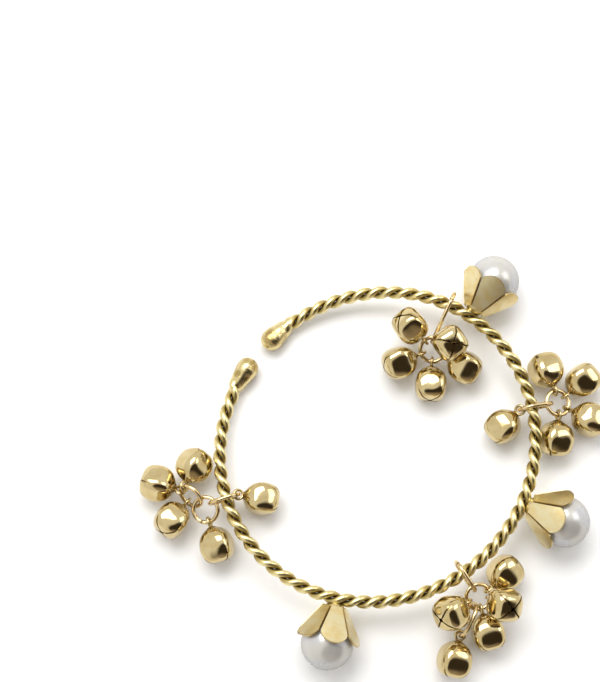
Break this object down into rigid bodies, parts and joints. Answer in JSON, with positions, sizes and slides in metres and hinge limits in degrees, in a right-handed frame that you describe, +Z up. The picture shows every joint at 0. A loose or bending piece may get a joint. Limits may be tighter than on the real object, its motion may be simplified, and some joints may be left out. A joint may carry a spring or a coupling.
{
  "type": "ghungroo bangle",
  "caption": "Open cuff bangle of twisted wire with pearls in petal caps and clusters of small jingle bells that swing on jump rings.",
  "frame": {"origin": "centre of the hoop, on the table that the bangle lies on", "axes": "+Z up out of the table, along the axis of the hoop; the opening between the two end drops points to -X +Y"},
  "size_m": [0.0904, 0.0807, 0.0127],
  "materials": {
    "rope_gold": "satin gold plate",
    "cap_gold": "satin champagne gold plate",
    "ring_gold": "bright gold plate",
    "bell_gold": "mirror-polished gold plate",
    "pearl": "pearl lacquer",
    "pellet_steel": "plain steel"
  },
  "bodies": {
    "bangle": {"strand_1": "rope_gold", "strand_2": "rope_gold", "end_drop_1": "rope_gold", "end_drop_2": "rope_gold", "pearl_1": "pearl", "pearl_2": "pearl", "pearl_3": "pearl", "pearl_cap_1": "cap_gold", "pearl_cap_2": "cap_gold", "pearl_cap_3": "cap_gold"},
    "hanger_a": {"hanger_a": "ring_gold"},
    "ring_a": {"ring_a": "ring_gold"},
    "bell_a1": {"bell_a1": "bell_gold"},
    "pellet_a1": {"pellet_a1": "pellet_steel"},
    "bell_a2": {"bell_a2": "bell_gold"},
    "pellet_a2": {"pellet_a2": "pellet_steel"},
    "bell_a3": {"bell_a3": "bell_gold"},
    "pellet_a3": {"pellet_a3": "pellet_steel"},
    "bell_a4": {"bell_a4": "bell_gold"},
    "pellet_a4": {"pellet_a4": "pellet_steel"},
    "bell_a5": {"bell_a5": "bell_gold"},
    "pellet_a5": {"pellet_a5": "pellet_steel"},
    "hanger_b": {"hanger_b": "ring_gold"},
    "ring_b": {"ring_b": "ring_gold"},
    "bell_b1": {"bell_b1": "bell_gold"},
    "pellet_b1": {"pellet_b1": "pellet_steel"},
    "bell_b2": {"bell_b2": "bell_gold"},
    "pellet_b2": {"pellet_b2": "pellet_steel"},
    "bell_b3": {"bell_b3": "bell_gold"},
    "pellet_b3": {"pellet_b3": "pellet_steel"},
    "bell_b4": {"bell_b4": "bell_gold"},
    "pellet_b4": {"pellet_b4": "pellet_steel"},
    "bell_b5": {"bell_b5": "bell_gold"},
    "pellet_b5": {"pellet_b5": "pellet_steel"},
    "hanger_c": {"hanger_c": "ring_gold"},
    "ring_c": {"ring_c": "ring_gold"},
    "link_c": {"link_c": "ring_gold"},
    "bell_c1": {"bell_c1": "bell_gold"},
    "pellet_c1": {"pellet_c1": "pellet_steel"},
    "bell_c2": {"bell_c2": "bell_gold"},
    "pellet_c2": {"pellet_c2": "pellet_steel"},
    "bell_c3": {"bell_c3": "bell_gold"},
    "pellet_c3": {"pellet_c3": "pellet_steel"},
    "bell_c4": {"bell_c4": "bell_gold"},
    "pellet_c4": {"pellet_c4": "pellet_steel"},
    "bell_c5": {"bell_c5": "bell_gold"},
    "pellet_c5": {"pellet_c5": "pellet_steel"},
    "hanger_d": {"hanger_d": "ring_gold"},
    "ring_d": {"ring_d": "ring_gold"},
    "link_d": {"link_d": "ring_gold"},
    "bell_d1": {"bell_d1": "bell_gold"},
    "pellet_d1": {"pellet_d1": "pellet_steel"},
    "bell_d2": {"bell_d2": "bell_gold"},
    "pellet_d2": {"pellet_d2": "pellet_steel"},
    "bell_d3": {"bell_d3": "bell_gold"},
    "pellet_d3": {"pellet_d3": "pellet_steel"},
    "bell_d4": {"bell_d4": "bell_gold"},
    "pellet_d4": {"pellet_d4": "pellet_steel"},
    "bell_d5": {"bell_d5": "bell_gold"},
    "pellet_d5": {"pellet_d5": "pellet_steel"}
  },
  "joints": [
    {"name": "hanger_a_turn", "type": "hinge", "parent": "bangle", "child": "hanger_a", "pos_m": [0.01407, 0.02703, 0.00611], "axis": [-0.9066, 0.4221, 0], "range_deg": [-46, 58]},
    {"name": "ring_a_swing", "type": "hinge", "parent": "hanger_a", "child": "ring_a", "pos_m": [0.01072, 0.02091, 0.00476], "axis": [-0.9915, -0.0779, -0.104], "range_deg": [-49, 1]},
    {"name": "bell_a1_swing", "type": "hinge", "parent": "ring_a", "child": "bell_a1", "pos_m": [0.00873, 0.01792, 0.00358], "axis": [-0.3437, 0.8964, 0.2799], "range_deg": [-52, 10]},
    {"name": "pellet_a1_rattle", "type": "slide", "parent": "bell_a1", "child": "pellet_a1", "axis": [0.1693, -0.2341, 0.9574], "range_m": [0, 0.0034]},
    {"name": "bell_a2_swing", "type": "hinge", "parent": "ring_a", "child": "bell_a2", "pos_m": [0.01086, 0.01638, 0.00322], "axis": [0.9961, -0.0706, 0.0535], "range_deg": [-25, 75]},
    {"name": "pellet_a2_rattle", "type": "slide", "parent": "bell_a2", "child": "pellet_a2", "axis": [-0.042, 0.1555, 0.9869], "range_m": [0, 0.0034]},
    {"name": "bell_a3_swing", "type": "hinge", "parent": "ring_a", "child": "bell_a3", "pos_m": [0.0131, 0.01755, 0.0038], "axis": [-0.458, -0.8295, -0.3196], "range_deg": [-46, 0]},
    {"name": "pellet_a3_rattle", "type": "slide", "parent": "bell_a3", "child": "pellet_a3", "axis": [-0.1755, -0.268, 0.9473], "range_m": [0, 0.0034]},
    {"name": "bell_a4_swing", "type": "hinge", "parent": "ring_a", "child": "bell_a4", "pos_m": [0.01298, 0.01984, 0.00457], "axis": [-0.5455, 0.8051, 0.233], "range_deg": [-4, 1]},
    {"name": "pellet_a4_rattle", "type": "slide", "parent": "bell_a4", "child": "pellet_a4", "axis": [-0.8199, -0.5703, 0.0508], "range_m": [0, 0.0034]},
    {"name": "bell_a5_swing", "type": "hinge", "parent": "ring_a", "child": "bell_a5", "pos_m": [0.00937, 0.02037, 0.00447], "axis": [0.7392, 0.6174, 0.2689], "range_deg": [-49, 7]},
    {"name": "pellet_a5_rattle", "type": "slide", "parent": "bell_a5", "child": "pellet_a5", "axis": [0.2273, -0.6047, 0.7633], "range_m": [0, 0.0034]},
    {"name": "hanger_b_turn", "type": "hinge", "parent": "bangle", "child": "hanger_b", "pos_m": [0.02969, 0.00707, 0.00611], "axis": [0.1908, -0.9816, 0], "range_deg": [-7, 58]},
    {"name": "ring_b_swing", "type": "hinge", "parent": "hanger_b", "child": "ring_b", "pos_m": [0.03259, 0.00764, 0.00575], "axis": [0.1908, -0.9816, 0], "range_deg": [-1, 58]},
    {"name": "bell_b1_swing", "type": "hinge", "parent": "ring_b", "child": "bell_b1", "pos_m": [0.03427, 0.01041, 0.00496], "axis": [0.9152, 0.2134, -0.3418], "range_deg": [-75, 7]},
    {"name": "pellet_b1_rattle", "type": "slide", "parent": "bell_b1", "child": "pellet_b1", "axis": [0.2647, 0.3212, 0.9093], "range_m": [0, 0.0034]},
    {"name": "bell_b2_swing", "type": "hinge", "parent": "ring_b", "child": "bell_b2", "pos_m": [0.03649, 0.00962, 0.00422], "axis": [-0.6264, 0.7605, 0.171], "range_deg": [-49, 4]},
    {"name": "pellet_b2_rattle", "type": "slide", "parent": "bell_b2", "child": "pellet_b2", "axis": [0.1646, -0.0854, 0.9827], "range_m": [0, 0.0034]},
    {"name": "bell_b3_swing", "type": "hinge", "parent": "ring_b", "child": "bell_b3", "pos_m": [0.03683, 0.00696, 0.00428], "axis": [-0.4176, -0.8839, 0.2106], "range_deg": [-13, 75]},
    {"name": "pellet_b3_rattle", "type": "slide", "parent": "bell_b3", "child": "pellet_b3", "axis": [0.1215, 0.1753, 0.977], "range_m": [0, 0.0034]},
    {"name": "bell_b4_swing", "type": "hinge", "parent": "ring_b", "child": "bell_b4", "pos_m": [0.03487, 0.00567, 0.00507], "axis": [0.9415, 0.0061, -0.3368], "range_deg": [0, 69]},
    {"name": "pellet_b4_rattle", "type": "slide", "parent": "bell_b4", "child": "pellet_b4", "axis": [0.3252, -0.2772, 0.9041], "range_m": [0, 0.0034]},
    {"name": "bell_b5_swing", "type": "hinge", "parent": "hanger_b", "child": "bell_b5", "pos_m": [0.02746, 0.00664, 0.00526], "axis": [-0.4149, -0.0806, 0.9063], "range_deg": [-75, 22]},
    {"name": "pellet_b5_rattle", "type": "slide", "parent": "bell_b5", "child": "pellet_b5", "axis": [0.6101, -0.7637, 0.2113], "range_m": [0, 0.0034]},
    {"name": "hanger_c_turn", "type": "hinge", "parent": "bangle", "child": "hanger_c", "pos_m": [0.01592, -0.02443, 0.00611], "axis": [-0.8338, -0.552, 0], "range_deg": [-37, 55]},
    {"name": "ring_c_swing", "type": "hinge", "parent": "hanger_c", "child": "ring_c", "pos_m": [0.01755, -0.02688, 0.00572], "axis": [-0.8338, -0.552, 0], "range_deg": [-28, 25]},
    {"name": "link_c_swing", "type": "hinge", "parent": "ring_c", "child": "link_c", "pos_m": [0.0181, -0.03005, 0.00463], "axis": [0.2329, -0.1334, 0.9633], "range_deg": [-4, 4]},
    {"name": "bell_c1_swing", "type": "hinge", "parent": "ring_c", "child": "bell_c1", "pos_m": [0.02072, -0.02733, 0.00503], "axis": [0.5819, -0.7526, -0.3083], "range_deg": [-66, 4]},
    {"name": "pellet_c1_rattle", "type": "slide", "parent": "bell_c1", "child": "pellet_c1", "axis": [0.3926, -0.072, 0.9169], "range_m": [0, 0.0034]},
    {"name": "bell_c2_swing", "type": "hinge", "parent": "ring_c", "child": "bell_c2", "pos_m": [0.02115, -0.02899, 0.0045], "axis": [0.1338, 0.9623, 0.2367], "range_deg": [-25, 1]},
    {"name": "pellet_c2_rattle", "type": "slide", "parent": "bell_c2", "child": "pellet_c2", "axis": [-0.8988, 0.0172, 0.438], "range_m": [0, 0.0034]},
    {"name": "bell_c3_swing", "type": "hinge", "parent": "ring_c", "child": "bell_c3", "pos_m": [0.01935, -0.03102, 0.00428], "axis": [-0.9593, -0.2638, 0.1006], "range_deg": [-55, 1]},
    {"name": "pellet_c3_rattle", "type": "slide", "parent": "bell_c3", "child": "pellet_c3", "axis": [0.1192, -0.0556, 0.9913], "range_m": [0, 0.0034]},
    {"name": "bell_c4_swing", "type": "hinge", "parent": "link_c", "child": "bell_c4", "pos_m": [0.01526, -0.03601, 0.00449], "axis": [0.2329, -0.1334, 0.9633], "range_deg": [-31, 4]},
    {"name": "pellet_c4_rattle", "type": "slide", "parent": "bell_c4", "child": "pellet_c4", "axis": [-0.9422, 0.2143, 0.2575], "range_m": [0, 0.0034]},
    {"name": "bell_c5_swing", "type": "hinge", "parent": "ring_c", "child": "bell_c5", "pos_m": [0.01658, -0.02965, 0.00515], "axis": [-0.324, 0.8969, 0.3011], "range_deg": [-19, 10]},
    {"name": "pellet_c5_rattle", "type": "slide", "parent": "bell_c5", "child": "pellet_c5", "axis": [0.6618, -0.0126, 0.7496], "range_m": [0, 0.0034]},
    {"name": "hanger_d_turn", "type": "hinge", "parent": "bangle", "child": "hanger_d", "pos_m": [-0.02887, -0.01028, 0.00536], "axis": [-0.3043, 0.9526, 0], "range_deg": [-4, 58]},
    {"name": "ring_d_swing", "type": "hinge", "parent": "hanger_d", "child": "ring_d", "pos_m": [-0.03143, -0.01055, 0.00514], "axis": [-0.7903, 0.6075, -0.0798], "range_deg": [-4, 58]},
    {"name": "link_d_swing", "type": "hinge", "parent": "ring_d", "child": "link_d", "pos_m": [-0.03388, -0.01141, 0.00436], "axis": [0.3849, 0.3894, 0.8368], "range_deg": [0, 16]},
    {"name": "bell_d1_swing", "type": "hinge", "parent": "link_d", "child": "bell_d1", "pos_m": [-0.03681, -0.00801, 0.00556], "axis": [0.7111, 0.0105, 0.703], "range_deg": [-4, 7]},
    {"name": "pellet_d1_rattle", "type": "slide", "parent": "bell_d1", "child": "pellet_d1", "axis": [-0.607, 0.5137, 0.6064], "range_m": [0, 0.0034]},
    {"name": "bell_d2_swing", "type": "hinge", "parent": "link_d", "child": "bell_d2", "pos_m": [-0.0377, -0.00861, 0.00398], "axis": [-0.1471, -0.5634, -0.813], "range_deg": [-4, 4]},
    {"name": "pellet_d2_rattle", "type": "slide", "parent": "bell_d2", "child": "pellet_d2", "axis": [-0.2334, -0.7789, 0.582], "range_m": [0, 0.0034]},
    {"name": "bell_d3_swing", "type": "hinge", "parent": "link_d", "child": "bell_d3", "pos_m": [-0.03649, -0.01088, 0.00245], "axis": [-0.7807, 0.6247, -0.015], "range_deg": [-75, 16]},
    {"name": "pellet_d3_rattle", "type": "slide", "parent": "bell_d3", "child": "pellet_d3", "axis": [0.1918, 0.2624, 0.9457], "range_m": [0, 0.0034]},
    {"name": "bell_d4_swing", "type": "hinge", "parent": "ring_d", "child": "bell_d4", "pos_m": [-0.03208, -0.0147, 0.00434], "axis": [0.9288, 0.2737, 0.2498], "range_deg": [-75, 75]},
    {"name": "pellet_d4_rattle", "type": "slide", "parent": "bell_d4", "child": "pellet_d4", "axis": [-0.2097, -0.1676, 0.9633], "range_m": [0, 0.0034]},
    {"name": "bell_d5_swing", "type": "hinge", "parent": "hanger_d", "child": "bell_d5", "pos_m": [-0.02659, -0.00955, 0.00485], "axis": [-0.2465, -0.0788, -0.9659], "range_deg": [-75, 28]},
    {"name": "pellet_d5_rattle", "type": "slide", "parent": "bell_d5", "child": "pellet_d5", "axis": [-0.1298, -0.985, 0.1135], "range_m": [0, 0.0034]}
  ]
}
